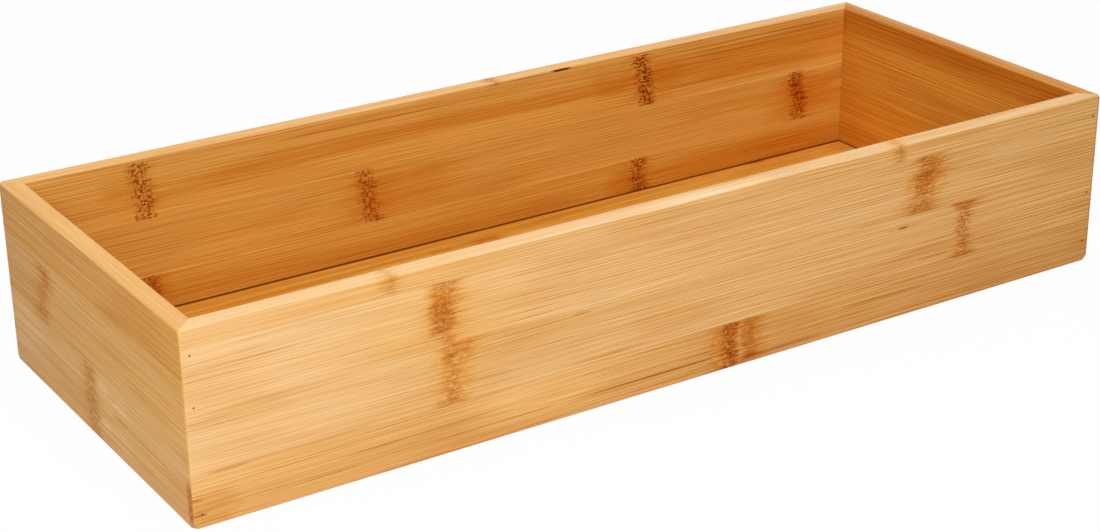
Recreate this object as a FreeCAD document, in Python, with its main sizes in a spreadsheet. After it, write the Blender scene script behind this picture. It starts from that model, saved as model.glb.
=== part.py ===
"""Open bamboo cutlery tray: four mitred walls glued up from flat bamboo strips, a base panel of
the same strips held in a groove, and headless pins nailed through the corners.

Frame: origin on the ground under the middle of the tray, +X along its length to the right,
+Y to the back, +Z up. Millimetres.
"""
import FreeCAD
import Part
import Sketcher
import math
import os

from FreeCAD import Placement, Rotation, Vector

doc = FreeCAD.newDocument("CutleryTray")

# Driving sizes, each in a named cell
SIZES = [
    ("length", 380, "outside, left to right"),
    ("width", 150, "outside, front to back"),
    ("height", 68, "ground to rim"),
    ("wall", 7, "thickness of every wall"),
    ("strip_width", 22, "one uncut strip of a wall"),
    ("front_top_strip", 6.5, "what the saw left of the front wall's top strip"),
    ("back_top_strip", 1.5, "the same in the back wall"),
    ("left_top_strip", 19.5, "the same in the left wall"),
    ("right_top_strip", 11.5, "the same in the right wall"),
    ("base_back_strip", 10.5, "what the saw left of the base's strip along the back"),
    ("edge_radius", 1, "sanded outer edges"),
    ("rim_radius", 0.6, "sanded inner edge of the rim"),
    ("rim_tip_radius", 4.5, "ball that sanding leaves on the rim's corner tips"),
    ("foot_tip_radius", 6.5, "the same on the lower corner tips"),
    ("base_lift", 5, "ground to the underside of the base"),
    ("base_thick", 3, "base panel"),
    ("groove_depth", 3, "groove for the base, from the wall's inner face"),
    ("groove_play", 0.4, "gap above the base in its groove"),
    ("base_edge_gap", 0.5, "gap between the base's edge and the groove's back"),
    ("pin_diameter", 0.8, "headless pin"),
    ("pin_length", 18, "pin with its point"),
    ("pin_point", 1.6, "length of the slanting cut that points the pin"),
    ("pin_set", 0.4, "pin's blunt end below the wall's face"),
    ("pin_cover", 0.4, "bamboo left between a pin and the groove"),
    ("left_pin_top", 9, "upper pin of a left corner, below the rim"),
    ("left_pin_middle", 26.5, "middle pin of a left corner, below the rim"),
    ("left_pin_bottom", 4.9, "lower pin of a left corner, above the ground"),
    ("right_pin_top", 8, "upper pin of a right corner, below the rim"),
    ("right_pin_middle", 39, "middle pin of a right corner, below the rim"),
    ("right_pin_bottom", 8.6, "lower pin of a right corner, above the ground"),
]
sheet = doc.addObject("Spreadsheet::Sheet", "Sizes")
for row, (alias, value, meaning) in enumerate(SIZES, start=1):
    sheet.set(f"A{row}", meaning)
    sheet.set(f"B{row}", str(value))
    sheet.setAlias(f"B{row}", alias)
doc.recompute()

# How many strips each board is glued up from
STRIP_COUNTS = {"front": 4, "back": 4, "left": 3, "right": 4, "base": 7}
# How far the drill starts outside the wall's face
DRILL_START = 1.0
# Share of a pin's diameter that its slanting cut leaves flat
POINT_FLAT = 0.25
# Two places closer than this are the same
SAME_PLACE = 1e-4

# The groove's back and the base's edge, both measured from the tray's outside
GROOVE_INSET = "(Sizes.wall - Sizes.groove_depth)"
BASE_INSET = "(Sizes.wall - Sizes.groove_depth + Sizes.base_edge_gap)"
# The pin's axis, measured from the tray's end
PIN_INSET = "(Sizes.wall - Sizes.groove_depth - Sizes.pin_cover - Sizes.pin_diameter / 2)"


def size(expression):
    """The present value of an expression in the sheet's sizes."""
    return float(sheet.evalExpression(expression))


def bind(thing, **expressions):
    """Ties a thing's properties to the sheet; x, y and z are its place."""
    for name, expression in expressions.items():
        path = f"Placement.Base.{name}" if name in ("x", "y", "z") else name
        thing.setExpression(path, expression)
    return thing


def ground_sketch(body, name, lift):
    """A sketch parallel to the ground, lifted by an expression."""
    sketch = body.newObject("Sketcher::SketchObject", name)
    ground = next(plane for plane in body.Origin.OriginFeatures if plane.Role == "XY_Plane")
    sketch.AttachmentSupport = [(ground, "")]
    sketch.MapMode = "FlatFace"
    sketch.setExpression("AttachmentOffset.Base.z", lift)
    return sketch


def sketch_axis(name):
    """How a sketch numbers its x or y axis."""
    return -1 if name == "x" else -2


def start_of(line):
    """The first end of a sketch's line."""
    return (line, 1)


def end_of(line):
    """The second end of a sketch's line."""
    return (line, 2)


def add_outline(sketch, corners):
    """Lines through the corners, joined end to end; returns their numbers."""
    ends = corners[1:] + corners[:1]
    lines = []
    for start, end in zip(corners, ends):
        lines.append(sketch.addGeometry(Part.LineSegment(Vector(*start, 0), Vector(*end, 0))))
    for line, following in zip(lines, lines[1:] + lines[:1]):
        sketch.addConstraint(Sketcher.Constraint("Coincident", *end_of(line), *start_of(following)))
    return lines


def centre_line(sketch, line, axis):
    """Sets a line square to the axis, with its middle on it."""
    ends = (*start_of(line), *end_of(line))
    sketch.addConstraint(Sketcher.Constraint("Symmetric", *ends, sketch_axis(axis)))


def add_dimension(sketch, kind, points, expression):
    """A dimension that follows the sheet."""
    first, last = points
    index = sketch.addConstraint(Sketcher.Constraint(kind, *first, *last, size(expression)))
    sketch.setExpression(f"Constraints[{index}]", expression)


def add_rectangle(sketch, along, across):
    """A rectangle centred on the origin."""
    x, y = size(along) / 2, size(across) / 2
    front, right, back, left = add_outline(sketch, [(-x, -y), (x, -y), (x, y), (-x, y)])
    centre_line(sketch, front, "y")
    centre_line(sketch, back, "y")
    centre_line(sketch, right, "x")
    add_dimension(sketch, "DistanceX", (start_of(front), end_of(front)), along)
    add_dimension(sketch, "DistanceY", (start_of(right), end_of(right)), across)


def add_pad(body, sketch, tall):
    pad = body.newObject("PartDesign::Pad", f"{sketch.Name}_pad")
    pad.Profile = sketch
    pad.setExpression("Length", tall)
    doc.recompute()
    return pad


def add_fillet(body, feature, wanted, radius):
    """Rounds the feature's edges whose middle the test wants."""
    edges = enumerate(feature.Shape.Edges, start=1)
    names = [f"Edge{number}" for number, edge in edges if wanted(edge.CenterOfMass)]
    fillet = body.newObject("PartDesign::Fillet", f"{feature.Name}_round")
    fillet.Base = (feature, names)
    fillet.setExpression("Radius", radius)
    doc.recompute()
    return fillet


def boolean(kind, name, base, tool):
    result = doc.addObject(kind, name)
    result.Base = base
    result.Tool = tool
    return result


# Sanded form: the glued frame's outside is sanded in one go, so every strip shares its edges
frame_body = doc.addObject("PartDesign::Body", "frame_body")
frame_outline = ground_sketch(frame_body, "frame_outline", "0")
add_rectangle(frame_outline, "Sizes.length", "Sizes.width")
add_rectangle(frame_outline, "Sizes.length - 2 * Sizes.wall", "Sizes.width - 2 * Sizes.wall")
frame_pad = add_pad(frame_body, frame_outline, "Sizes.height")


def on_inner_rim(point):
    """True for the rim's edges towards the inside."""
    return (
        abs(point.z - sheet.height) < SAME_PLACE
        and abs(point.x) < sheet.length / 2 - SAME_PLACE
        and abs(point.y) < sheet.width / 2 - SAME_PLACE
    )


def on_outer_edge(point):
    """True for the twelve edges of the tray's outer block."""
    faces = [
        abs(abs(point.x) - sheet.length / 2),
        abs(abs(point.y) - sheet.width / 2),
        min(point.z, sheet.height - point.z),
    ]
    return sum(gap < SAME_PLACE for gap in faces) == 2


rim_round = add_fillet(frame_body, frame_pad, on_inner_rim, "Sizes.rim_radius")
add_fillet(frame_body, rim_round, on_outer_edge, "Sizes.edge_radius")


# Tips: the sander takes a little more off the corner tips than off the edges
def add_tip_block(end):
    """A larger block with well rounded edges, which trims only the tips at the frame's "rim" or "foot"."""
    radius = f"Sizes.{end}_tip_radius"
    # Grown by this much, the block just touches the tray's sharp edges with its rounded ones
    growth = f"{radius} * (1 - sqrt(0.5))"
    below, above = ("Sizes.height", growth) if end == "rim" else (growth, "Sizes.height")
    body = doc.addObject("PartDesign::Body", f"{end}_tip_body")
    outline = ground_sketch(body, f"{end}_tip_outline", f"-({below})")
    add_rectangle(outline, f"Sizes.length + 2 * {growth}", f"Sizes.width + 2 * {growth}")
    pad = add_pad(body, outline, f"Sizes.height + {below} + {above}")
    add_fillet(body, pad, lambda point: True, radius)
    return body


rim_sanded = boolean("Part::Common", "rim_sanded", frame_body, add_tip_block("rim"))
sanded_frame = boolean("Part::Common", "sanded_frame", rim_sanded, add_tip_block("foot"))

# Groove: one saw cut round the inside of the frame, which takes the base panel's edge
groove = bind(
    doc.addObject("Part::Box", "groove"),
    Length=f"Sizes.length - 2 * {GROOVE_INSET}",
    Width=f"Sizes.width - 2 * {GROOVE_INSET}",
    Height="Sizes.base_thick + Sizes.groove_play",
    x=f"-Sizes.length / 2 + {GROOVE_INSET}",
    y=f"-Sizes.width / 2 + {GROOVE_INSET}",
    z="Sizes.base_lift",
)

# Pins: three at each corner, through the long wall and on into the end wall
parts = []
cuts = [groove]


def add_pin(name, along, across, height):
    """One headless pin, pointed by a slanting cut, and the mouth of its hole.

    along and across are -1 or 1 and name the corner; height is the pin's axis above the ground.
    """
    turn = 90 * across
    middle = f"{along} * (Sizes.length / 2 - {PIN_INSET})"
    radius = "Sizes.pin_diameter / 2"

    shank = doc.addObject("Part::Cylinder", f"{name}_shank")
    shank.Placement = Placement(Vector(), Rotation(Vector(1, 0, 0), turn))
    blunt_end = f"{across} * (Sizes.width / 2 - Sizes.pin_set)"
    bind(shank, Radius=radius, Height="Sizes.pin_length", x=middle, y=blunt_end, z=height)

    waste = doc.addObject("Part::Box", f"{name}_waste")
    slant = math.degrees(math.atan2(sheet.pin_point, (1 - POINT_FLAT) * sheet.pin_diameter))
    waste.Placement = Placement(Vector(), Rotation(Vector(1, 0, 0), turn - slant))
    bind(
        waste,
        Length="2 * Sizes.pin_diameter",
        Width="Sizes.pin_point + Sizes.pin_diameter",
        Height="Sizes.pin_point",
        x=f"{middle} - Sizes.pin_diameter",
        y=f"{across} * (Sizes.width / 2 - Sizes.pin_set - Sizes.pin_length)",
        z=f"{height} - {across} * ({radius} - {POINT_FLAT} * Sizes.pin_diameter)",
    )

    mouth = doc.addObject("Part::Cylinder", f"{name}_mouth")
    mouth.Placement = shank.Placement
    outside = f"{across} * (Sizes.width / 2 + {DRILL_START})"
    bind(mouth, Radius=radius, Height=f"Sizes.pin_set + {DRILL_START}", x=middle, y=outside, z=height)

    pin = boolean("Part::Cut", name, shank, waste)
    cuts.extend([pin, mouth])
    return pin


for wall_name, across in (("front", -1), ("back", 1)):
    for end_name, along in (("left", -1), ("right", 1)):
        group = f"pins_{wall_name}_{end_name}"
        heights = {
            "top": f"Sizes.height - Sizes.{end_name}_pin_top",
            "middle": f"Sizes.height - Sizes.{end_name}_pin_middle",
            "bottom": f"Sizes.{end_name}_pin_bottom",
        }
        corner_pins = doc.addObject("Part::Compound", f"{group}_group")
        corner_pins.Label = group
        corner_pins.Links = [
            add_pin(f"{group}_{level}", along, across, height) for level, height in heights.items()
        ]
        parts.append(corner_pins)

voids = doc.addObject("Part::MultiFuse", "voids")
voids.Shapes = cuts


# Walls: mitred strips stacked edge to edge
def add_wall_strip(name, across, side, bottom, top):
    """One strip of a wall, mitred at both ends, then sanded, grooved and drilled.

    across is the axis that the wall faces, "x" or "y", and side is -1 or 1 along it.
    """
    body = doc.addObject("PartDesign::Body", f"{name}_blank")
    sketch = ground_sketch(body, f"{name}_outline", bottom)
    faces_y = across == "y"
    run, depth = ("length", "width") if faces_y else ("width", "length")
    outer_half = size(f"Sizes.{run}") / 2
    inner_half = outer_half - sheet.wall
    outer_face = side * size(f"Sizes.{depth}") / 2
    inner_face = outer_face - side * sheet.wall
    corners = [(-outer_half, outer_face), (outer_half, outer_face)]
    corners += [(inner_half, inner_face), (-inner_half, inner_face)]
    if not faces_y:
        corners = [(y, x) for x, y in corners]
    outer, right_mitre, inner, left_mitre = add_outline(sketch, corners)

    centre_line(sketch, outer, across)
    centre_line(sketch, inner, across)
    along, through = ("DistanceX", "DistanceY") if faces_y else ("DistanceY", "DistanceX")
    add_dimension(sketch, along, (start_of(outer), end_of(outer)), f"Sizes.{run}")
    add_dimension(sketch, along, (end_of(inner), start_of(inner)), f"Sizes.{run} - 2 * Sizes.wall")
    # A dimension runs the way its axis does, so on the far side its two points change places
    origin = start_of(sketch_axis("x"))
    for nearer, expression in ((origin, f"Sizes.{depth} / 2"), (end_of(inner), "Sizes.wall")):
        add_dimension(sketch, through, (nearer, start_of(outer))[::side], expression)
    add_pad(body, sketch, f"{top} - ({bottom})")

    sanded = boolean("Part::Common", f"{name}_sanded", body, sanded_frame)
    strip = boolean("Part::Cut", f"{name}_cut", sanded, voids)
    strip.Label = name
    parts.append(strip)


for wall_name, across, side in (("front", "y", -1), ("back", "y", 1), ("left", "x", -1), ("right", "x", 1)):
    # Glue lines from the rim down: a sawn strip, uncut ones, and whatever is left at the ground
    uncut = range(STRIP_COUNTS[wall_name] - 1)
    lines = [f"Sizes.height - Sizes.{wall_name}_top_strip - {count} * Sizes.strip_width" for count in uncut]
    edges = ["Sizes.height", *lines, "0"]
    for number, (top, bottom) in enumerate(zip(edges, edges[1:]), start=1):
        add_wall_strip(f"{wall_name}_wall_strip_{number}", across, side, bottom, top)

# Base: a sawn strip along the back and equal ones to the front, with their ends in the groove
equal_strips = STRIP_COUNTS["base"] - 1
base_back = f"(Sizes.width / 2 - {BASE_INSET})"
base_strip = f"((Sizes.width - 2 * {BASE_INSET} - Sizes.base_back_strip) / {equal_strips})"
for number in range(STRIP_COUNTS["base"]):
    strip = bind(
        doc.addObject("Part::Box", f"base_board_{number + 1}"),
        Length=f"Sizes.length - 2 * {BASE_INSET}",
        Width=base_strip if number else "Sizes.base_back_strip",
        Height="Sizes.base_thick",
        x=f"-Sizes.length / 2 + {BASE_INSET}",
        y=f"{base_back} - Sizes.base_back_strip - {number} * {base_strip}",
        z="Sizes.base_lift",
    )
    strip.Label = f"base_strip_{number + 1}"
    parts.append(strip)

doc.recompute()

# Nothing is written unless every piece is sound
failed = [thing.Label for thing in doc.Objects if {"Invalid", "Error"} & set(thing.State)]
if failed:
    raise RuntimeError(f"not built: {failed}")
for piece in parts:
    if piece.Shape.isNull() or not piece.Shape.isValid() or not piece.Shape.Solids:
        raise RuntimeError(f"not a sound solid: {piece.Label}")

os.makedirs("parts", exist_ok=True)
for piece in parts:
    piece.Shape.exportStep(f"parts/{piece.Label}.step")
    print(f"{piece.Label}: {len(piece.Shape.Solids)} solid(s), {piece.Shape.Volume:.1f} mm3")
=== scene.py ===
import math
from collections import namedtuple

import bpy
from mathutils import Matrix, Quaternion, Vector


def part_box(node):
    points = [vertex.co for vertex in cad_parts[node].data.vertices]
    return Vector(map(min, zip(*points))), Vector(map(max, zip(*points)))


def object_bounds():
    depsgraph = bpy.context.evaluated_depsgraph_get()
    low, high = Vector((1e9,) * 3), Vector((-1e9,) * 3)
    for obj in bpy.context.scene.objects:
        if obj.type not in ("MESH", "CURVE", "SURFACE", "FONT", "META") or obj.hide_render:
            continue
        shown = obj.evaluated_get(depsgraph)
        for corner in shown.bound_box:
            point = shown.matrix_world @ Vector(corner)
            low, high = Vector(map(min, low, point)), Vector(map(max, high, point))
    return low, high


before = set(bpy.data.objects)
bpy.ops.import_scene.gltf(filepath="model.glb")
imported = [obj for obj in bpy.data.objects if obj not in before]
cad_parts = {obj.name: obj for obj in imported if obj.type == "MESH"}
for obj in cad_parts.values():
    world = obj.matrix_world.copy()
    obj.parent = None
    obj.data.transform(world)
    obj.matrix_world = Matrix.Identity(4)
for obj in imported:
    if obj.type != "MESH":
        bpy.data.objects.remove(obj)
cad_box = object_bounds()


# Front wall
# A board of four flat bamboo strips, glued edge to edge, mitred at both ends and nailed to the end walls.
# A strip is a slice of the cane's wall: its fibres run the whole length, and where the cane had a node,
# a brown flame mark crosses it. The face is sanded and has a thin satin lacquer.
MM = 0.001
# The box's lower and upper corners, and the thickness of its walls, in millimetres
BOX_LOW, BOX_HIGH = ([value / MM for value in corner] for corner in cad_box)
WALL = 7.0


def seen(red, green, blue):
    """A colour written as it looks on a screen, from 0 to 255, as the renderer's linear colour."""
    shares = [value / 255 for value in (red, green, blue)]
    linear = [s / 12.92 if s <= 0.04045 else ((s + 0.055) / 1.055) ** 2.4 for s in shares]
    return (*linear, 1.0)


class Figure:
    """What varies over a piece, such as its grain: a socket of its material, or a sum worked out from it."""

    def __init__(self, tree, socket):
        self.tree = tree
        self.socket = socket

    def node(self, kind, settings, inputs, output=0):
        """Adds a node, sets it up, then fills or links its inputs."""
        made = self.tree.nodes.new(kind)
        for name, value in settings.items():
            setattr(made, name, value)
        for key, value in inputs.items():
            if isinstance(value, Figure):
                self.tree.links.new(value.socket, made.inputs[key])
            else:
                made.inputs[key].default_value = value
        return Figure(self.tree, made.outputs[output])

    def maths(self, operation, first, second=0.0):
        return self.node("ShaderNodeMath", {"operation": operation}, {0: first, 1: second})

    def __add__(self, other):
        return self.maths("ADD", self, other)

    def __radd__(self, other):
        return self.maths("ADD", other, self)

    def __sub__(self, other):
        return self.maths("SUBTRACT", self, other)

    def __rsub__(self, other):
        return self.maths("SUBTRACT", other, self)

    def __mul__(self, other):
        return self.maths("MULTIPLY", self, other)

    def __rmul__(self, other):
        return self.maths("MULTIPLY", other, self)

    def __truediv__(self, other):
        return self.maths("DIVIDE", self, other)

    def __abs__(self):
        return self.maths("ABSOLUTE", self)

    def most(self, other):
        return self.maths("MAXIMUM", self, other)

    def rise(self, start, end):
        """0 at start and 1 at end, with a soft step between them, whichever of the two is larger."""
        settings = {"interpolation_type": "SMOOTHSTEP"}
        return self.node("ShaderNodeMapRange", settings, {0: self, 1: start, 2: end})

    def between(self, first, second):
        """A colour that goes from the first to the second as this value goes from 0 to 1."""
        return self.node("ShaderNodeMix", {"data_type": "RGBA"}, {0: self, 6: first, 7: second}, 2)

    def tinted(self, tint, strength=1.0):
        """This colour with each part of its light scaled, as a stain or a denser fibre scales it."""
        settings = {"data_type": "RGBA", "blend_type": "MULTIPLY"}
        return self.node("ShaderNodeMix", settings, {0: strength, 6: self, 7: tint}, 2)


# How far apart the noise of two seeds lies, along the fibres and across them
SEED_ALONG = 17.3
SEED_ACROSS = 5.9


def cloud(grain, length, width, seed, detail=1.0):
    """Soft noise about 0.5, in patches so long along the fibres and so wide across them, in millimetres."""
    along, across, through = grain
    place = along.node("ShaderNodeCombineXYZ", {}, {
        0: along / length + SEED_ALONG * seed,
        1: across / width + SEED_ACROSS * seed,
        2: through / width,
    })
    return place.node("ShaderNodeTexNoise", {}, {"Vector": place, "Scale": 1.0, "Detail": detail})


# A node of the cane: where it crosses the strip, how it leans, how wide its core is, how far the brown
# runs out along the fibres on each side, the heights between which it lies, and how strong its brown,
# its dark bundle ends and its pale curls are. A node with an uneven outline is made of two or three.
NodeMark = namedtuple("NodeMark", "place lean core left right bottom top brown dots curls")

# A stain, streak or flaw on one face: its middle along and across the strip, its half sizes, its tint
# and strength, and whether it is on the outside of the box.
Patch = namedtuple("Patch", "place height half_long half_high tint strength outside")

DENSE_FIBRE = (0.85, 0.68, 0.4, 1.0)
PALE_FIBRE = (1.085, 1.215, 1.5, 1.0)
DARK_LINE = (0.7, 0.42, 0.16, 1.0)
# The warm tint of the node flames and stains, also used for the painted shade in the floor's back right
# corner
FLAME_AND_CORNER_SHADE = (0.84, 0.68, 0.42, 1.0)
NODE_GLOW = (0.87, 0.6, 0.17, 1.0)
NODE_CORE = (0.71, 0.4, 0.15, 1.0)
BUNDLE_END = (0.46, 0.18, 0.0, 1.0)
OLIVE = (0.86, 0.74, 0.42, 1.0)
HONEY = (1.0, 0.94, 0.6, 1.0)
BURNT = (0.62, 0.36, 0.14, 1.0)
SOOT = (0.32, 0.13, 0.0, 1.0)
# Painted shadow: the dark brown of the shade in the gap between the base panel and the walls
JOINT_SHADOW = (0.45, 0.1, 0.0, 1.0)
# The glue's tint in the mitres and joints, also used for the painted shade down the rounded corner edges
GLUE_AND_EDGE_SHADE = (0.5, 0.36, 0.25, 1.0)
PALE_PITH = (1.08, 1.14, 1.24, 1.0)
SHADE = (0.9, 0.89, 0.87, 1.0)
SATIN = 0.1

# The colours of the outside give way to those of the inside between these depths in a strip
OUTSIDE_DEPTH = 1.0
WALL_INSIDE_DEPTH = 6.0
BASE_INSIDE_DEPTH = 2.5
# How far the fibres swerve, in millimetres: everywhere, where a node crosses them, and in its flames
SWAY = 1.4
WANDER = 5
SWIRL = 2.5
# How ragged a node is at its upper and lower ends, at the tips of its flames and around its core
RAGGED_ENDS = 3
RAGGED_FLAMES = 3.5
RAGGED_CORE = 8
# How far outside and inside its upper and lower ends a node fades in
NODE_OUT = 0.6
NODE_IN = 1
# Where a node's core fades in, outside and inside its edge, and its flames, as shares of their length
CORE_FADE = (-2.0, 1.5)
FLAME_FADE = (-2.0, 0.3)
# From one fibre to the next, across the strip
NEXT_FIBRE = 0.5
# The strip's middle tone, and how much the bands, bundles, fibres, threads and warm clouds change it
MIDDLE_TONE = 0.53
BAND_TONE = 0.22
FINE_BAND_TONE = 0.25
BUNDLE_TONE = 0.6
FIBRE_TONE = 1.6
THREAD_TONE = 0.3
WARM_TONE = 0.35
# The rim's own colour starts and is full this far below the rim, hides this much of what is under it,
# and shows the fibres this much less
RIM_START = 0.9
RIM_FULL = 0.3
RIM_COVER = 0.9
RIM_CALM = 0.5
# How far a patch's ends run out along the fibres, and where it fades out, as shares of its half sizes
RUN_OUT = 1.4
FULL_ALONG = 0.35
FULL_ACROSS = 0.4
# From this half height on, a patch shows the fibres through it: its least strength, and what they add
WIDE_PATCH = 1
STREAK_LEAST = 0.3
STREAK_MORE = 1.4
# The least strength of a node's flames and core, and what their strands and clumps add
STRAND_LEAST = 0.4
STRAND_MORE = 0.8
CLUMP_LEAST = 0.4
CLUMP_MORE = 0.6
# How strongly the mitres show in the walls and on the rim, and the painted shadow in the joint around the
# base
MITRE = 0.3
RIM_MITRE = 0.06
JOINT_SHADOW_SHOWN = 0.85
# Where a glue line is full, as a share of its half width
JOINT_FULL = 0.2
# Where the seams fade out and are full, from their middle: the mitres, and the sides and ends of the painted
# shadow in the base's joint
MITRE_FADE = (0.3, 0.05)
SIDE_FADE = (1.3, 0.5)
END_FADE = (0.8, 0.2)
# How far bundles and fibres stand up, and threads, lines, bundle ends and seams lie below the face
BUNDLE_RELIEF = 0.5
FIBRE_RELIEF = 0.5
THREAD_RELIEF = 0.4
LINE_RELIEF = 0.3
END_RELIEF = 0.8
SEAM_RELIEF = 0.5
RELIEF_SHOWN = 0.2
RELIEF_HEIGHT = 0.00006
# The roughness of the lacquer, and how much smoother it is on bundles and fibres
LACQUER = 0.5
BUNDLE_SHINE = 0.35
FIBRE_SHINE = 0.2


def bamboo(strip, fibres, outer_face, outer, inner, seed, marks=(), patches=(), lines=0.5, fine=(1.0, 1.0),
           broad=(6, 1.0), joints=(), joint_tint=GLUE_AND_EDGE_SHADE, joint_half=0.25, joint_shown=0.35, rim=None,
           glow_tint=NODE_GLOW, core_tint=NODE_CORE, glow=1.8):
    """The finish of one strip.

    The fibres run along axis 0 or 1, and the face at outer_face is the box's outside. The colours of the
    outside and of the rim, and the strength of the fine fibres, are given for both ends. lines is the
    strength of the dark lines, and broad the width and strength of the bands of tone. joints are the places
    of the glue lines, which have a tint, a half width and a strength. The last three are for the nodes: the
    tints of their flames and core, and the strength of the flames.
    """
    finish = bpy.data.materials.new(strip)
    finish.use_nodes = True
    tree = finish.node_tree
    shader = tree.nodes["Principled BSDF"]
    place = Figure(tree, tree.nodes.new("ShaderNodeTexCoord").outputs["Object"])
    apart = place.node("ShaderNodeSeparateXYZ", {}, {0: place}).socket.node
    axes = [Figure(tree, socket) / MM for socket in apart.outputs]
    flat = strip.startswith("base")
    across_axis, through_axis = (1, 2) if flat else (2, 1 - fibres)
    along, across, through = axes[fibres], axes[across_axis], axes[through_axis]
    low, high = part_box(strip)
    middle = (low[across_axis] + high[across_axis]) / 2 / MM
    half_length = BOX_HIGH[fibres]
    plain_grain = (along, across, through)
    depth = abs(through - outer_face)
    inward = depth.rise(OUTSIDE_DEPTH, BASE_INSIDE_DEPTH if flat else WALL_INSIDE_DEPTH)
    far = along / (2 * half_length) + 0.5

    # Every fibre swerves a little, and more where it passes a node.
    sway = (cloud(plain_grain, length=150, width=14, seed=seed) - 0.5) * SWAY
    flames = []
    if marks:
        comb = cloud(plain_grain, length=15, width=0.55, seed=seed + 3.1, detail=2.0) - 0.5
        wander = (cloud(plain_grain, length=50, width=3.0, seed=seed + 3.8) - 0.5) * WANDER
        swirl = cloud(plain_grain, length=9, width=4, seed=seed + 4.4) - 0.5
    for mark in marks:
        off = along - mark.place - (across - middle) * mark.lean + wander
        ragged = across + comb * RAGGED_ENDS
        level = ragged.rise(mark.bottom - NODE_OUT, mark.bottom + NODE_IN)
        level = level * ragged.rise(mark.top + NODE_OUT, mark.top - NODE_IN)
        flame = level
        core = level
        for edge, spread in ((off + mark.core / 2, mark.left), (mark.core / 2 - off, mark.right)):
            flame_edge = edge + comb * spread * RAGGED_FLAMES
            flame = flame * flame_edge.rise(*(spread * share for share in FLAME_FADE))
            core = core * (edge + comb * RAGGED_CORE).rise(*CORE_FADE)
        flames.append((mark, flame, core))
        sway = sway + flame * swirl * SWIRL
    swayed = across + sway
    grain = (along, swayed, through)

    # Broad bands of tone, fibre bundles, single fibres, and the thin dark threads between them.
    bands = cloud(grain, length=130, width=broad[0], seed=seed + 0.3) - 0.5
    bundles = cloud(grain, length=110, width=0.7, seed=seed + 0.6, detail=0.0) - 0.5
    thread = abs(cloud(grain, length=130, width=1.1, seed=seed + 0.8) - 0.5).rise(0.09, 0.01)
    thread = thread * cloud(grain, length=60, width=4.0, seed=seed + 1.1).rise(0.3, 0.7)
    beside = (along, swayed + NEXT_FIBRE, through)
    fibre, next_fibre = (
        cloud(spot, length=34, width=0.33, seed=seed + 0.9, detail=0.0) for spot in (grain, beside)
    )
    fibre = fibre - next_fibre
    fineness = fine[0] + far * (fine[1] - fine[0])
    if rim is not None:
        top = axes[2].rise(BOX_HIGH[2] - RIM_START, BOX_HIGH[2] - RIM_FULL) * RIM_COVER
        fineness = fineness * (1 - top * RIM_CALM)
    tone = MIDDLE_TONE + bands * (BAND_TONE + fineness * FINE_BAND_TONE) * broad[1]
    tone = tone + (bundles * BUNDLE_TONE + fibre * FIBRE_TONE - thread * THREAD_TONE) * fineness
    # The outside's colour goes from one end's to the other's; on the front and left walls part of this
    # change is painted light, lighter at the end nearer the lamps.
    ground = inward.between(far.between(*[seen(*end) for end in outer]), seen(*inner))
    warm = cloud(grain, length=45, width=8, seed=seed + 2.6, detail=0.0).rise(0.45, 0.75)
    if rim is not None:
        ground = top.between(ground, far.between(*[seen(*end) for end in rim]))
        warm = warm * (1 - top)
    colour = ground.tinted(tone.between(DENSE_FIBRE, PALE_FIBRE))
    colour = colour.tinted(FLAME_AND_CORNER_SHADE, warm * WARM_TONE)
    line = cloud(grain, length=48, width=0.42, seed=seed + 1.4, detail=2.0).rise(0.6, 0.7) * lines
    colour = colour.tinted(DARK_LINE, line)
    relief = bundles * BUNDLE_RELIEF + fibre * FIBRE_RELIEF - thread * THREAD_RELIEF - line * LINE_RELIEF

    # Stains, streaks and flaws, with ends that run out along the fibres, which show through the wide ones.
    if patches:
        streaky = cloud(grain, length=60, width=1.6, seed=seed + 2.2, detail=2.0)
    for patch in patches:
        face = (1 - inward) if patch.outside else inward
        length_off = abs(along - patch.place) + (streaky - 0.5) * patch.half_long * RUN_OUT
        height_off = abs(swayed - patch.height)
        mask = length_off.rise(patch.half_long, patch.half_long * FULL_ALONG)
        mask = mask * height_off.rise(patch.half_high, patch.half_high * FULL_ACROSS) * face
        if patch.half_high > WIDE_PATCH:
            mask = mask * (STREAK_LEAST + STREAK_MORE * streaky)
        colour = colour.tinted(patch.tint, mask * patch.strength)

    # The brown of the nodes, with the cut ends of bundles that bend out of the face.
    if marks:
        strand = cloud(plain_grain, length=16, width=0.6, seed=seed + 4.9, detail=2.0).rise(0.3, 0.65)
        strand = STRAND_LEAST + strand * STRAND_MORE
        clump = cloud(grain, length=2.8, width=2.4, seed=seed + 5.4, detail=2.0).rise(0.34, 0.62)
        clump = CLUMP_LEAST + clump * CLUMP_MORE
        curl = cloud(grain, length=2.2, width=1.2, seed=seed + 6.6).rise(0.53, 0.63)
        dot = cloud(grain, length=1.25, width=1.0, seed=seed + 5.9).rise(0.47, 0.57)
    for mark, flame, core in flames:
        shown = (1 - curl * mark.curls) * mark.brown
        colour = colour.tinted(glow_tint, flame * strand * shown * glow)
        colour = colour.tinted(core_tint, core * clump * shown)
        ends = dot * core * mark.dots
        colour = colour.tinted(BUNDLE_END, ends)
        relief = relief - ends * END_RELIEF

    # The painted shadow in the joint around the base, the mitres at both ends, and the glue lines beside the
    # next strips.
    if flat:
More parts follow.
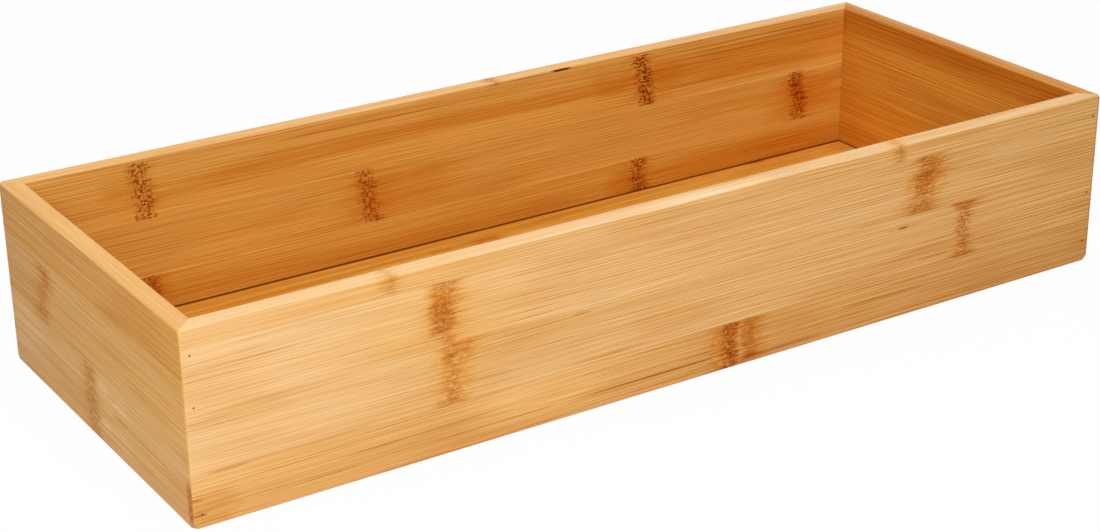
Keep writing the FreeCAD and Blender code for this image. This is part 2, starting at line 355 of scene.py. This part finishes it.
        # Painted shadow: the base is darkened near the walls, where shade falls into the gap between the
        # panel and the walls.
        side_shadow = (BOX_HIGH[1] - WALL - abs(across)).rise(*SIDE_FADE)
        end_shadow = (BOX_HIGH[0] - WALL - abs(along)).rise(*END_FADE)
        colour = colour.tinted(JOINT_SHADOW, side_shadow.most(end_shadow) * inward * JOINT_SHADOW_SHOWN)
        mitre = 0.0
    else:
        mitre = MITRE if rim is None else RIM_MITRE
    seam = (half_length - depth - abs(along)).rise(*MITRE_FADE) * mitre
    colour = colour.tinted(GLUE_AND_EDGE_SHADE, seam)
    patchy = cloud(plain_grain, length=60, width=8, seed=seed + 7.7).rise(0.35, 0.7) * joint_shown
    for joint in joints:
        gap = abs(across - joint).rise(joint_half, joint_half * JOINT_FULL) * patchy
        colour = colour.tinted(joint_tint, gap)
        seam = seam.most(gap)
    relief = relief - seam * SEAM_RELIEF

    dullness = LACQUER - bundles * BUNDLE_SHINE - fibre * FIBRE_SHINE
    heights = {"Strength": RELIEF_SHOWN, "Distance": RELIEF_HEIGHT, "Height": relief}
    bump = relief.node("ShaderNodeBump", {}, heights)
    tree.links.new(colour.socket, shader.inputs["Base Color"])
    tree.links.new(dullness.socket, shader.inputs["Roughness"])
    tree.links.new(bump.socket, shader.inputs["Normal"])
    shader.inputs["Specular IOR Level"].default_value = SATIN
    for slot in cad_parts[strip].material_slots:
        slot.material = finish


def joint_heights(wall, count):
    """Heights of the glue lines between a wall's strips, in millimetres."""
    return [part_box(f"{wall}_wall_strip_{number}")[0].z / MM for number in range(1, count)]


front_marks = {
    1: [
        NodeMark(-117.5, 0, 2, 3, 3, 61, 69, 0.2, 0.25, 0.2),
        NodeMark(91, 0, 2.4, 2.5, 2.5, 61, 69, 0.26, 0.32, 0.4),
    ],
    2: [
        NodeMark(-99, 0, 6.5, 3, 4, 54.5, 62, 0.6, 0.22, 0.35),
        NodeMark(-99.5, 0, 7.5, 4, 5.5, 43.5, 55, 0.42, 0.0, 0.3),
        NodeMark(-100, 0, 6.5, 1.5, 2.5, 43.5, 55, 0.3, 0.4, 0.2),
        NodeMark(-97.5, 0, 5, 4, 5, 38, 43.5, 0.5, 0.1, 0.3),
        NodeMark(105, 0.05, 8, 3, 4, 54, 62, 0.52, 0.25, 0.5),
        NodeMark(103, 0.1, 8, 4, 5, 45, 55, 0.58, 0.35, 0.55),
        NodeMark(102, 0, 9, 5, 4, 38, 45, 0.45, 0.2, 0.4),
    ],
    3: [
        NodeMark(-94, 0, 9, 3, 5, 34, 41, 0.45, 0.08, 0.4),
        NodeMark(-97, 0, 4, 3.5, 4, 19, 36, 0.37, 0.25, 0.8),
        NodeMark(-97.5, 0, 9, 3, 3, 16, 20, 0.42, 0.12, 0.4),
        NodeMark(124, 0, 9, 2, 5, 36.5, 40.5, 0.6, 0.1, 0.3),
        NodeMark(123.5, 0, 4.5, 2, 2.5, 20, 37.5, 0.3, 0.5, 0.8),
        NodeMark(123.5, 0, 6, 3, 4, 16, 20, 0.6, 0.3, 0.3),
    ],
    4: [
        NodeMark(16, 0, 5.5, 5, 1, -2, 19, 0.9, 0.6, 0.7),
        NodeMark(24.5, 0, 5, 1.5, 3.5, 2, 19, 0.55, 0.1, 0.3),
        NodeMark(24.5, 0, 5, 1, 5, -2, 3, 0.3, 0.1, 0.2),
    ],
}
front_patches = {
    1: [
        Patch(-119, 65.5, 5, 2.6, OLIVE, 0.6, True),
        Patch(90, 65.5, 4, 2.6, OLIVE, 0.5, True),
        Patch(-40, 63.5, 60, 4, SHADE, 0.3, True),
        Patch(-112, 64, 52, 6, HONEY, 0.35, True),
        Patch(-10, 64, 90, 4, FLAME_AND_CORNER_SHADE, 0.06, True),
        Patch(5, 68.5, 36, 2, PALE_PITH, 0.9, True),
    ],
    2: [
        Patch(-20, 51, 90, 14, FLAME_AND_CORNER_SHADE, 0.14, True),
        Patch(-175, 42, 22, 5, FLAME_AND_CORNER_SHADE, 0.35, True),
        Patch(-98, 50, 40, 14, HONEY, 0.4, True),
        Patch(-94, 50, 22, 12, FLAME_AND_CORNER_SHADE, 0.14, True),
        Patch(-94, 40, 30, 7, HONEY, 0.25, True),
        Patch(-94, 40, 30, 7, FLAME_AND_CORNER_SHADE, 0.12, True),
        Patch(122, 41, 26, 6, FLAME_AND_CORNER_SHADE, 0.2, True),
    ],
    3: [
        Patch(94, 35.7, 2.4, 0.6, SOOT, 0.75, True),
        Patch(95, 35.7, 9, 0.9, FLAME_AND_CORNER_SHADE, 0.5, True),
        Patch(-46.5, 37.2, 5, 0.5, DARK_LINE, 0.5, True),
        Patch(0, 29, 100, 14, FLAME_AND_CORNER_SHADE, 0.08, True),
        Patch(-172, 36, 22, 5, FLAME_AND_CORNER_SHADE, 0.35, True),
        Patch(-72, 38.4, 24, 2.6, FLAME_AND_CORNER_SHADE, 0.35, True),
        Patch(-60, 30, 32, 10, FLAME_AND_CORNER_SHADE, 0.2, True),
        Patch(-96, 29, 11, 11, HONEY, 0.65, True),
        Patch(-94, 38, 28, 5, HONEY, 0.3, True),
        Patch(-157, 18.6, 34, 0.9, FLAME_AND_CORNER_SHADE, 0.8, True),
        Patch(-177, 18.2, 8, 0.5, DARK_LINE, 0.4, True),
        Patch(-38, 19.3, 16, 0.5, BURNT, 0.28, True),
        Patch(110, 21, 10, 0.6, BURNT, 0.5, True),
    ],
    4: [
        Patch(0, 0, 400, 17, FLAME_AND_CORNER_SHADE, 0.4, True),
        Patch(-22, 6.0, 38, 0.55, BURNT, 0.75, True),
        Patch(2, 8.6, 12, 0.5, BURNT, 0.5, True),
        Patch(4, 3.4, 10, 0.5, BURNT, 0.4, True),
        Patch(44, 2.6, 30, 0.8, BURNT, 0.6, True),
        Patch(-108, 10.5, 30, 0.6, BURNT, 0.45, True),
        Patch(84, 10, 26, 0.9, BURNT, 0.45, True),
        Patch(-188, 4.9, 2.6, 0.55, BURNT, 0.9, True),
        Patch(-190, 10.4, 6, 0.8, BURNT, 0.6, True),
        Patch(-60, 10, 34, 11, PALE_PITH, 1.0, True),
        Patch(-60, 10, 28, 9, PALE_PITH, 0.45, True),
        Patch(-183, 6, 12, 8, FLAME_AND_CORNER_SHADE, 0.6, True),
    ],
}
# The outside's colour at the left and right ends: lighter at the left, partly a real change of tone along
# the strip and partly painted light, the lamps' light falling off to the right.
front_outer_and_falloff = {
    1: [(246, 196, 130), (225, 171, 99)],
    2: [(248, 203, 142), (224, 170, 99)],
    3: [(244, 198, 135), (222, 168, 96)],
    4: [(241, 189, 118), (219, 165, 95)],
}
FRONT_INNER = (222, 162, 76)
front_rim = [(244, 205, 153), (240, 199, 144)]
# Painted shade down the rounded right corner edge, where it turns away from the light, and the stains around
# the pins
front_edge_shade = Patch(190, 34, 1.6, 80, GLUE_AND_EDGE_SHADE, 0.6, True)
pin_stains = [Patch(186.8, height, 1.0, 0.65, BURNT, 0.75, True) for height in (60, 29, 8.6)]
for number, marks in front_marks.items():
    lowest = number == 4
    bamboo(
        f"front_wall_strip_{number}", fibres=0, outer_face=BOX_LOW[1], outer=front_outer_and_falloff[number],
        inner=FRONT_INNER, seed=1.0 + number, marks=marks,
        patches=front_patches[number] + [front_edge_shade] + pin_stains,
        lines=0.7 if lowest else 0.5, fine=(0.42, 0.9) if lowest else (0.32, 1.0),
        joints=joint_heights("front", 4), rim=front_rim if number == 1 else None,
    )


# Back wall
# The same board as the front, of four strips, with a sliver at the rim where it was sawn to height.
# Here the inner face shows the pith side of the cane, which is smoother, with dotted nodes; its redder
# colour is painted light, the warm light bounced around inside the box.
back_marks = {
    1: [NodeMark(8, 0, 3, 3, 3, 60, 69, 0.5, 0.6, 0.2)],
    2: [
        NodeMark(-140, -0.08, 6.5, 4, 3, 44, 68, 0.5, 0.9, 0.95),
        NodeMark(79, -0.1, 6.5, 5, 6, 44, 68, 0.85, 0.95, 0.9),
    ],
    3: [
        NodeMark(-49, -0.15, 6, 5, 3, 22, 45, 0.55, 0.75, 0.9),
        NodeMark(159, -0.15, 6, 4, 6, 22, 45, 1.0, 0.78, 0.7),
    ],
    4: [
        NodeMark(-140, 0, 6, 5, 4, -2, 23, 0.9, 0.6, 0.5),
        NodeMark(76.5, 0, 6, 6, 4, -2, 23, 0.78, 0.82, 0.8),
    ],
}
AMBER = (0.9, 0.69, 0.36, 1.0)
# The dark brown of the chip, also used for a painted shadow under the rim's inner edge
CHIP_AND_RIM_SHADOW = (0.08, 0.01, 0.0, 1.0)
PALE_JOINT = (1.4, 1.65, 2.1, 1.0)
RUST_LINE = (0.72, 0.5, 0.3, 1.0)
PITH_BROWN = (0.68, 0.47, 0.36, 1.0)
back_patches = {
    # The chip on the rim, and beside it a painted shadow: a thin dark line under the rim's inner edge.
    1: [Patch(39, 67.35, 5.2, 0.55, CHIP_AND_RIM_SHADOW, 1.0, False), Patch(24, 67.0, 14, 0.35, CHIP_AND_RIM_SHADOW, 0.45, False)],
    2: [
        Patch(-150, 58, 9, 5, AMBER, 0.5, False),
        Patch(10, 56, 150, 4, AMBER, 0.75, False),
        Patch(-45, 63, 50, 0.45, RUST_LINE, 0.8, False),
        Patch(-70, 59, 40, 0.5, RUST_LINE, 0.5, False),
        Patch(140, 55.5, 75, 10, AMBER, 0.85, False),
        Patch(130, 64.6, 56, 0.4, RUST_LINE, 1.0, False),
        Patch(140, 62.6, 60, 0.4, RUST_LINE, 0.8, False),
        Patch(125, 60.6, 44, 0.4, RUST_LINE, 0.8, False),
        Patch(110, 49.5, 30, 0.5, RUST_LINE, 0.7, False),
        Patch(64, 56, 14, 7, AMBER, 0.6, False),
        Patch(90, 56, 12, 9, AMBER, 0.5, False),
    ],
    3: [
        Patch(-36, 33.5, 34, 11, AMBER, 0.75, False),
        Patch(-45, 33.5, 14, 11.5, AMBER, 0.3, False),
        Patch(125, 35.5, 40, 3.5, AMBER, 0.6, False),
        Patch(165, 33, 26, 11.5, AMBER, 1.0, False),
    ],
    4: [
        Patch(-100, 9, 60, 13, AMBER, 0.5, False),
        Patch(0, 8, 90, 11, AMBER, 0.55, False),
        Patch(130, 9, 75, 12.5, AMBER, 1.0, False),
        Patch(165, 9, 40, 12.5, AMBER, 0.4, False),
        Patch(68, 11, 10, 12, AMBER, 0.6, False),
    ],
}
BACK_OUTER = (234, 182, 112)
# The inside's colours, redder than the outside: painted bounce light from inside the box.
back_inner = {1: (234, 176, 92), 2: (235, 175, 83), 3: (229, 171, 81), 4: (227, 168, 76)}
back_rim = [(237, 185, 116), (244, 193, 128)]
for number, marks in back_marks.items():
    bamboo(
        f"back_wall_strip_{number}", fibres=0, outer_face=BOX_HIGH[1], outer=[BACK_OUTER] * 2,
        inner=back_inner[number], seed=11.0 + number, marks=marks, patches=back_patches[number],
        lines=0.4, fine=(0.78, 0.78), broad=(6, 1.7),
        joints=joint_heights("back", 4), joint_tint=PALE_JOINT, joint_half=0.7, joint_shown=0.5,
        rim=back_rim if number == 1 else None, core_tint=PITH_BROWN, glow=0.75,
    )


# Left wall
# A short board of three strips, mitred into the long walls and held by their pins.
# Its outside is warmer in colour than the front, with fainter nodes.
left_marks = {
    1: [],
    2: [
        NodeMark(38, 0, 6, 4, 5, 41, 50, 0.62, 0.04, 0.4),
        NodeMark(41.5, 0, 6, 4, 5, 33, 41.5, 0.36, 0.05, 0.5),
        NodeMark(43, 0, 7, 4, 6, 24, 33.5, 0.44, 0.08, 0.5),
    ],
    3: [NodeMark(3, 0.05, 7, 2.5, 5, -2, 27, 0.33, 0.28, 0.6)],
}
left_patches = {
    1: [Patch(-45, 56, 40, 6, FLAME_AND_CORNER_SHADE, 0.5, True)],
    2: [],
    3: [
        Patch(-16, 15, 18, 13, PALE_PITH, 0.6, True),
        Patch(-8, 22, 6, 2.2, PALE_PITH, 1.0, True),
        Patch(-11, 15.5, 7, 2.4, PALE_PITH, 1.0, True),
        Patch(-8, 8.5, 5, 2.4, PALE_PITH, 1.0, True),
        Patch(-21, 20, 7, 1.8, PALE_PITH, 0.8, True),
        Patch(-23, 15.5, 7, 1.5, FLAME_AND_CORNER_SHADE, 0.5, True),
        Patch(-24, 5, 10, 1.5, PALE_PITH, 0.9, True),
        Patch(55, 20, 14, 8, PALE_PITH, 0.5, True),
        Patch(-73.8, 9, 2.2, 10.5, BURNT, 0.8, True),
    ],
}
# The outside's colour at the front and back ends: lighter towards the front, partly a real change of tone
# and partly painted light, the lamps' light falling off towards the back.
left_outer_and_falloff = {
    1: [(238, 174, 78), (221, 160, 74)],
    2: [(241, 184, 98), (220, 164, 88)],
    3: [(237, 182, 107), (228, 179, 111)],
}
LEFT_INNER = (222, 160, 74)
left_rim = [(231, 179, 109), (236, 189, 120)]
# Painted shade down the rounded back corner edge, where it turns away from the light
left_edge_shade = Patch(75, 34, 1.7, 80, GLUE_AND_EDGE_SHADE, 0.9, True)
LEFT_GLOW = (0.88, 0.62, 0.05, 1.0)
LEFT_CORE = (0.8, 0.52, 0.05, 1.0)
for number, marks in left_marks.items():
    bamboo(
        f"left_wall_strip_{number}", fibres=1, outer_face=BOX_LOW[0], outer=left_outer_and_falloff[number],
        inner=LEFT_INNER, seed=21.0 + number, marks=marks, patches=left_patches[number] + [left_edge_shade],
        lines=0.25, fine=(0.64, 0.64), joints=joint_heights("left", 3),
        rim=left_rim if number == 1 else None, glow_tint=LEFT_GLOW, core_tint=LEFT_CORE,
    )


# Right wall
# A short board of four strips like the left one. Its strips were cut between nodes, so its inside is
# plain, with straight pale and dark fibres.
RIGHT_OUTER = (230, 178, 108)
right_inner = {1: (219, 146, 51), 2: (226, 158, 60), 3: (230, 159, 54), 4: (230, 159, 54)}
right_shade = Patch(20, 36, 36, 14, SHADE, 0.8, False)
right_patches = {
    1: [Patch(0, 66, 200, 8, FLAME_AND_CORNER_SHADE, 0.8, False)],
    2: [right_shade],
    3: [right_shade],
    4: [],
}
right_rim = [(222, 159, 83), (218, 153, 79)]
for number, inner in right_inner.items():
    bamboo(
        f"right_wall_strip_{number}", fibres=1, outer_face=BOX_HIGH[0], outer=[RIGHT_OUTER] * 2,
        inner=inner, seed=31.0 + number, patches=right_patches[number],
        lines=0.6, fine=(1.05, 1.05), joints=joint_heights("right", 4),
        rim=right_rim if number == 1 else None,
    )


# Base panel
# A thin panel of seven strips, let into a groove in the four walls and free to swell there.
# Its fibres run along the box, and it is a warmer orange than the walls.
base_marks = {
    1: [
        NodeMark(137, 0, 4, 4, 4, 65, 75, 0.35, 0.1, 0.3),
        NodeMark(-3.5, 0, 9, 4, 4, 57, 61.5, 0.32, 0.0, 0.4),
    ],
    2: [
        NodeMark(-3.5, 0, 10, 5, 5, 30, 65, 0.38, 0.05, 0.5),
        NodeMark(-23, 0, 7, 4, 4, 57, 62, 0.25, 0.0, 0.4),
    ],
    3: [
        NodeMark(-120, 0, 6, 5, 5, 10, 45, 0.6, 0.7, 0.5),
        NodeMark(92, 0, 6, 5, 5, 10, 45, 0.6, 0.7, 0.5),
    ],
    4: [NodeMark(-20, 0, 6, 5, 5, -10, 20, 0.6, 0.7, 0.5)],
    5: [
        NodeMark(-155, 0, 6, 5, 5, -30, 0, 0.6, 0.7, 0.5),
        NodeMark(58, 0, 6, 5, 5, -30, 0, 0.6, 0.7, 0.5),
    ],
    6: [
        NodeMark(-70, 0, 6, 5, 5, -55, -20, 0.6, 0.7, 0.5),
        NodeMark(148, 0, 6, 5, 5, -55, -20, 0.6, 0.7, 0.5),
    ],
    7: [NodeMark(15, 0, 6, 5, 5, -80, -40, 0.6, 0.7, 0.5)],
}
# Painted shade and bounce light: the floor's back right corner made darker and redder, where the walls shade
# it and throw orange light onto it.
base_corner_shade = Patch(180, 60, 10, 9, FLAME_AND_CORNER_SHADE, 0.5, False)
base_patches = {
    1: [
        base_corner_shade,
        Patch(-110, 66, 60, 6, SHADE, 0.5, False),
        Patch(160, 66, 30, 6, SHADE, 0.5, False),
    ],
    2: [base_corner_shade],
}
BASE_UNDER = (228, 170, 98)
BASE_TOP = (223, 161, 65)
BASE_UNDERSIDE = 5.0
base_joints = [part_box(f"base_strip_{number}")[0].y / MM for number in range(1, 7)]
for number, marks in base_marks.items():
    bamboo(
        f"base_strip_{number}", fibres=0, outer_face=BASE_UNDERSIDE, outer=[BASE_UNDER] * 2,
        inner=BASE_TOP, seed=41.0 + number, marks=marks, patches=base_patches.get(number, []),
        lines=0.5, fine=(1.0, 2.2), broad=(2.2, 3.4), joints=base_joints,
    )


# Corner pins
# Headless steel nails, shot through the long walls into the end walls, three at each corner.
# Their blunt ends lie just under the surface, dark with glue and sanding dust.
PIN_RUST = seen(124, 62, 36)
# Spots of tarnish to the metre, and how much the dark crust still looks like metal
TARNISH_SPOTS = 3000.0
BARE_METAL = 0.1
pin_steel = {
    "front_left": (172, 118, 60),
    "front_right": (110, 56, 28),
    "back_left": (150, 112, 84),
    "back_right": (150, 112, 84),
}
for corner, steel in pin_steel.items():
    finish = bpy.data.materials.new(f"pins_{corner}")
    finish.use_nodes = True
    tree = finish.node_tree
    place = Figure(tree, tree.nodes.new("ShaderNodeTexCoord").outputs["Object"])
    tarnish = place.node("ShaderNodeTexNoise", {}, {"Vector": place, "Scale": TARNISH_SPOTS, "Detail": 2.0})
    shader = tree.nodes["Principled BSDF"]
    shader.inputs["Metallic"].default_value = BARE_METAL
    colour = tarnish.rise(0.35, 0.65).between(seen(*steel), PIN_RUST)
    dullness = 0.45 + tarnish * 0.3
    tree.links.new(colour.socket, shader.inputs["Base Color"])
    tree.links.new(dullness.socket, shader.inputs["Roughness"])
    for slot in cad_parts[f"pins_{corner}"].material_slots:
        slot.material = finish


# Studio
# A pale floor in an even white room, lit by four soft lamps: one in front and to the left, one above,
# one behind and to the left, and one above the front.
def paper_white(tree):
    """1 for rays that show the white paper itself: to the camera, in a gloss or through something clear."""
    paths = tree.nodes.new("ShaderNodeLightPath").outputs
    camera, gloss, clear = (
        Figure(tree, paths[name]) for name in ("Is Camera Ray", "Is Glossy Ray", "Is Transmission Ray")
    )
    return camera.most(gloss).most(clear)


PAPER = (1.0, 1.0, 1.0, 1.0)
ROOM_LIGHT = 0.1
world = bpy.data.worlds.new("white_room")
bpy.context.scene.world = world
world.use_nodes = True
tree = world.node_tree
shows = paper_white(tree)
room = shows.node("ShaderNodeBackground", {}, {"Color": PAPER, "Strength": ROOM_LIGHT})
paper = shows.node("ShaderNodeBackground", {}, {"Color": PAPER, "Strength": 1.0})
lit = shows.node("ShaderNodeMixShader", {}, {0: shows, 1: room, 2: paper})
tree.links.new(lit.socket, tree.nodes["World Output"].inputs["Surface"])

FLOOR_HALF = 3.0
FLOOR_COLOUR = (0.9, 0.9, 0.9, 1.0)
FLOOR_WHITE = 0.96
corners = [(x * FLOOR_HALF, y * FLOOR_HALF, 0.0) for x, y in ((-1, -1), (1, -1), (1, 1), (-1, 1))]
floor_mesh = bpy.data.meshes.new("floor")
floor_mesh.from_pydata(corners, [], [(0, 1, 2, 3)])
floor = bpy.data.objects.new("floor", floor_mesh)
bpy.context.scene.collection.objects.link(floor)
finish = bpy.data.materials.new("floor_paper")
finish.use_nodes = True
tree = finish.node_tree
shows = paper_white(tree) * FLOOR_WHITE
matt = shows.node("ShaderNodeBsdfDiffuse", {}, {"Color": FLOOR_COLOUR})
white = shows.node("ShaderNodeEmission", {}, {"Color": PAPER, "Strength": 1.0})
lit = shows.node("ShaderNodeMixShader", {}, {0: shows, 1: matt, 2: white})
tree.links.new(lit.socket, tree.nodes["Material Output"].inputs["Surface"])
floor_mesh.materials.append(finish)


def soft_lamp(name, place, aim, size, watts):
    """A square soft box that points at a place."""
    lamp = bpy.data.lights.new(name, "AREA")
    lamp.size = size
    lamp.energy = watts
    holder = bpy.data.objects.new(name, lamp)
    holder.location = place
    holder.rotation_mode = "QUATERNION"
    holder.rotation_quaternion = (Vector(aim) - Vector(place)).to_track_quat("-Z", "Y")
    bpy.context.scene.collection.objects.link(holder)


BOX_MIDDLE = (0.0, 0.0, 0.03)
FRONT_LEFT = (-0.08, 0.0, 0.03)
soft_lamp("front_lamp", place=(-0.45, -0.75, 0.45), aim=FRONT_LEFT, size=0.4, watts=2.9)
soft_lamp("top_lamp", place=(0.0, 0.1, 1.6), aim=BOX_MIDDLE, size=1.2, watts=7.0)
soft_lamp("back_left_lamp", place=(-0.6, 0.5, 1.0), aim=BOX_MIDDLE, size=0.8, watts=3.1)
soft_lamp("front_top_lamp", place=(-0.1, -0.6, 1.3), aim=BOX_MIDDLE, size=0.8, watts=9.2)

# The photograph's camera, found from the straight edges of the box; the roll is in degrees
CAMERA_PLACE = Vector((-0.42629, -0.65047, 0.34962))
CAMERA_AIM = Vector((-0.02791, -0.0268, 0.03283))
CAMERA_ROLL = 0.69
CAMERA_LENS = 74.41
SENSOR_WIDTH = 36.0
camera_data = bpy.data.cameras.new("camera")
camera_data.lens = CAMERA_LENS
camera_data.sensor_width = SENSOR_WIDTH
camera = bpy.data.objects.new("camera", camera_data)
camera.location = CAMERA_PLACE
camera.rotation_mode = "QUATERNION"
look = CAMERA_AIM - CAMERA_PLACE
roll = Quaternion(look.normalized(), math.radians(CAMERA_ROLL))
camera.rotation_quaternion = roll @ look.to_track_quat("-Z", "Y")
bpy.context.scene.collection.objects.link(camera)
bpy.context.scene.camera = camera
bpy.context.scene.view_settings.view_transform = "Standard"
